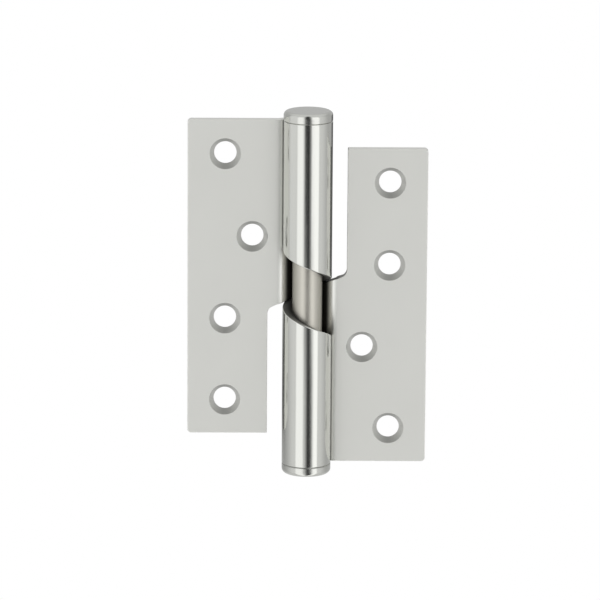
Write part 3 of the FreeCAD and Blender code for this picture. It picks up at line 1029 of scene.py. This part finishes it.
@dataclass
class Hinge:
    """The whole hinge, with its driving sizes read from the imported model."""

    sheet_thickness: float = 3.0 * MM
    pin_play: float = 0.05 * MM
    leaf_offset: float = 1.0 * MM
    hole_row_reach: float = 26.1 * MM
    staggered_hole_reach: float = 17.5 * MM
    hole_end_distance: float = 11.0 * MM
    holes_per_leaf: int = 4
    staggered_hole: int = 1
    cap_round: float = 1.4 * MM
    cap_seam_chamfer: float = 0.25 * MM
    plug_chamfer: float = 0.4 * MM
    pin_chamfer: float = 0.6 * MM
    small_round: float = 0.08 * MM

    def _hole_places(self, sheet: Sheet, leaf_height: float) -> list[tuple[float, float]]:
        """Run and height of each screw hole: evenly spaced, the staggered one nearer the pin."""
        pitch = (leaf_height - 2 * self.hole_end_distance) / (self.holes_per_leaf - 1)
        reaches = [self.hole_row_reach] * self.holes_per_leaf
        reaches[self.staggered_hole] = self.staggered_hole_reach
        return [
            (-reach - sheet.bend_centre[0], leaf_height - self.hole_end_distance - number * pitch)
            for number, reach in enumerate(reaches)
        ]

    def _leaves(self) -> list[RolledLeaf]:
        """The two leaves, the same blank, one turned over."""
        low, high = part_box("door_leaf")
        leaf_height = high.z - low.z
        pin_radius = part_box("pin")[1].x
        sheet = Sheet(self.sheet_thickness, pin_radius + self.pin_play, self.leaf_offset)
        # The door leaf stands half the open lift above the middle, and the open lift is half the lead.
        ramp = Ramp(sheet, leaf_height, lead=4 * (low.z + leaf_height / 2))
        holes = self._hole_places(sheet, leaf_height)
        return [
            RolledLeaf(node, node, side, sheet, ramp, -low.x, low.z, holes)
            for node, side in (("door_leaf", Side.DOOR), ("frame_leaf", Side.FRAME))
        ]

    def _cap(self, leaf: RolledLeaf) -> TurnedPiece:
        """A leaf's end cap: a plug inside the knuckle and a rounded head over its end."""
        low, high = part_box("door_leaf_cap")
        plug, head = leaf.sheet.bore, leaf.sheet.knuckle
        seam = leaf.foot + leaf.ramp.leaf_height
        corners = [
            (0.0, low.z),
            (plug - self.plug_chamfer, low.z),
            (plug, low.z + self.plug_chamfer),
            (plug, seam),
            (head - self.cap_seam_chamfer, seam),
            (head, seam + self.cap_seam_chamfer),
            (head, high.z),
            (0.0, high.z),
        ]
        radii = [self.small_round] * 5 + [self.cap_round]
        node = f"{leaf.name}_cap"
        return TurnedPiece(f"{node}_turned", node, leaf.body, "cap_steel", corners, radii, leaf.side)

    def _pin(self) -> TurnedPiece:
        """The pin: a rod with chamfered ends."""
        low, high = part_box("pin")
        radius, chamfer = high.x, self.pin_chamfer
        corners = [
            (0.0, low.z),
            (radius - chamfer, low.z),
            (radius, low.z + chamfer),
            (radius, high.z - chamfer),
            (radius - chamfer, high.z),
            (0.0, high.z),
        ]
        return TurnedPiece("pin_turned", "pin", "pin", "pin_steel", corners, [self.small_round] * 4)

    def build(self) -> None:
        """Builds and dresses every piece, and reports each."""
        leaves = self._leaves()
        leaf_steel, cap_steel = LEAF_STEEL.material(), CAP_STEEL.material()
        pieces = [leaf.build(leaf_steel) for leaf in leaves]
        pieces += [self._cap(leaf).build(cap_steel) for leaf in leaves]
        pieces.append(self._pin().build(PIN_STEEL.material()))
        for piece in pieces:
            log.info("%s: %d triangles", piece.name, len(piece.data.polygons))


@dataclass(frozen=True)
class Panel:
    """An upright panel of the light tent.

    Attributes:
        centre: Bearing of its middle in degrees, 0 at the front and 90 on the hinge's right.
        half: Half its breadth in degrees.
        soft: Breadth in degrees of its soft edges.
        level: How bright it is.
        foot: Sine of the elevation where it starts.
        head: Sine of the elevation where it ends.
        fade: Height of its soft ends, as a difference of such sines.
        lean: Degrees that its part below LEAN_FOOT stands further right than that above LEAN_HEAD.
    """

    LEAN_FOOT = -0.24
    LEAN_HEAD = -0.224

    centre: float
    half: float
    soft: float
    level: float
    foot: float = -2.0
    head: float = 0.65
    fade: float = 0.3
    lean: float = 0.0

    def over(self, level: Term, bearing: Term, rise: Term) -> Term:
        """Lays the panel over what is there.

        Args:
            level: Brightness of the tent without the panel.
            bearing: Bearing of the place, in radians.
            rise: Sine of its elevation.

        Returns:
            Brightness with the panel.
        """
        inner = math.radians(self.half - self.soft / 2)
        outer = math.radians(self.half + self.soft / 2)
        high, low = math.radians(self.centre), math.radians(self.centre + self.lean)
        middle = rise.step(self.LEAN_FOOT, self.LEAN_HEAD, low, high)
        share = abs(bearing - middle).step(inner, outer, 1.0, 0.0)
        low, high = self.fade / -2, self.fade / 2
        above = rise.step(self.foot + low, self.foot + high)
        below = rise.step(self.head + low, self.head + high, 1.0, 0.0)
        return level.toward(self.level, share * above * below)


@dataclass(frozen=True)
class LightTent:
    """A white tent round the hinge, with a dark gap for the camera and a bright panel on each side.

    The tent is the world. The camera sees it plain white. The hinge is lit by its walls, which dim
    towards the back, and by its roof and floor. The wall on the left is brighter again high up, and
    a dark panel stands on each side behind the hinge. Bearings are degrees away from the front, and
    heights are sines of elevation.

    Attributes:
        walls: Brightness of the walls up to front_bearing.
        sides: Their brightness at side_bearing.
        back: Their brightness from back_bearing on.
        roof: Brightness of the roof, full from roof_full up.
        floor: Brightness of the floor, full from floor_full down.
        panels: What is laid over it, one after the other.
    """

    walls: float = 0.9
    sides: float = 0.57
    back: float = 0.6
    roof: float = 0.86
    floor: float = 0.8
    front_bearing: float = 60.0
    side_bearing: float = 112.0
    back_bearing: float = 150.0
    roof_start: float = 0.45
    roof_full: float = 0.85
    floor_start: float = -0.35
    floor_full: float = -0.75
    panels: tuple[Panel, ...] = (
        Panel(-34.0, 18.0, 4.0, 1.4),
        Panel(34.0, 18.0, 4.0, 1.51),
        Panel(-76.0, 21.0, 24.0, 0.98, foot=-0.232, fade=0.016),
        Panel(-148.0, 30.0, 24.0, 0.1, foot=-0.257, head=-0.234, fade=0.006),
        Panel(157.0, 19.0, 22.0, 0.12, foot=-0.232, head=-0.03, fade=0.016),
        Panel(-3.0, 15.0, 20.0, 0.035, foot=-0.95, head=0.95, fade=0.4, lean=15.2),
    )

    def place(self) -> None:
        """Makes the tent as the world."""
        world = bpy.data.worlds.new("light_tent")
        bpy.context.scene.world = world
        world.use_nodes = True
        graph = Graph(world.node_tree)
        across, deep, rise = graph.node("ShaderNodeTexCoord", {}, [], "Generated").parts()
        ahead = deep * -1.0
        bearing = graph.node("ShaderNodeMath", {"operation": "ARCTAN2"}, [across, ahead])
        aside = abs(bearing)
        bearings = (self.front_bearing, self.side_bearing, self.back_bearing)
        front, side, back = (math.radians(degrees) for degrees in bearings)
        wall = aside.step(front, side, self.walls, self.sides)
        level = wall.toward(self.back, aside.step(side, back))
        level = level.toward(self.roof, rise.step(self.roof_start, self.roof_full))
        level = level.toward(self.floor, rise.step(self.floor_full, self.floor_start, 1.0, 0.0))
        for panel in self.panels:
            level = panel.over(level, bearing, rise)
        lit = graph.node("ShaderNodeBackground", {}, {"Color": level, "Strength": 1.0})
        white = graph.node("ShaderNodeBackground", {}, {"Color": (1.0,) * 4, "Strength": 1.0})
        seen = graph.node("ShaderNodeLightPath", {}, [], "Is Camera Ray")
        shade = graph.node("ShaderNodeMixShader", {}, [seen, lit, white])
        graph.node("ShaderNodeOutputWorld", {}, {"Surface": shade})


@dataclass
class PhotoCamera:
    """The camera of the photograph, found from the hinge's outline and screw holes.

    Attributes:
        distance: Distance from the hinge's centre in metres.
        elevation: Degrees that it stands above the level of the centre.
        bearing: Degrees that it stands to the right of the front.
        roll: Degrees that it is turned about its line of sight.
        pixels_per_metre: Scale of the picture at the centre.
        centre_pixel: Place of the centre in the picture.
    """

    distance: float = 1.5158
    elevation: float = 13.25
    bearing: float = -0.72
    roll: float = 0.395
    pixels_per_metre: float = 3151.6
    centre_pixel: tuple[float, float] = (307.18, 292.56)
    sensor_width: float = 36.0
    clip_end: float = 100.0

    def place(self) -> None:
        """Makes the camera. It looks at the hinge's centre, and the lens sets the scale there."""
        data = bpy.data.cameras.new("photo_camera")
        data.sensor_width = self.sensor_width
        data.lens = self.pixels_per_metre * self.distance / PHOTO_WIDTH * self.sensor_width
        half = PHOTO_WIDTH / 2
        data.shift_x = (half - self.centre_pixel[0]) / PHOTO_WIDTH
        data.shift_y = (self.centre_pixel[1] - half) / PHOTO_WIDTH
        data.clip_end = self.clip_end
        made = bpy.data.objects.new("photo_camera", data)
        up, level = math.radians(self.elevation), math.radians(self.bearing)
        away = Vector(
            (math.sin(level) * math.cos(up), -math.cos(level) * math.cos(up), math.sin(up))
        )
        facing = away.to_track_quat("Z", "Y").to_matrix()
        rolled = facing @ Matrix.Rotation(math.radians(self.roll), 3, "Z")
        made.matrix_world = Matrix.Translation(away * self.distance) @ rolled.to_4x4()
        bpy.context.scene.collection.objects.link(made)
        bpy.context.scene.camera = made


def main() -> None:
    """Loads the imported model, builds the hinge, its light and its camera."""
    logging.basicConfig(level=logging.INFO, format="%(message)s")
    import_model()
    Hinge().build()
    LightTent().place()
    PhotoCamera().place()
    bpy.context.scene.view_settings.view_transform = "Standard"
    log.info("sizes written")


if __name__ == "__main__":
    main()
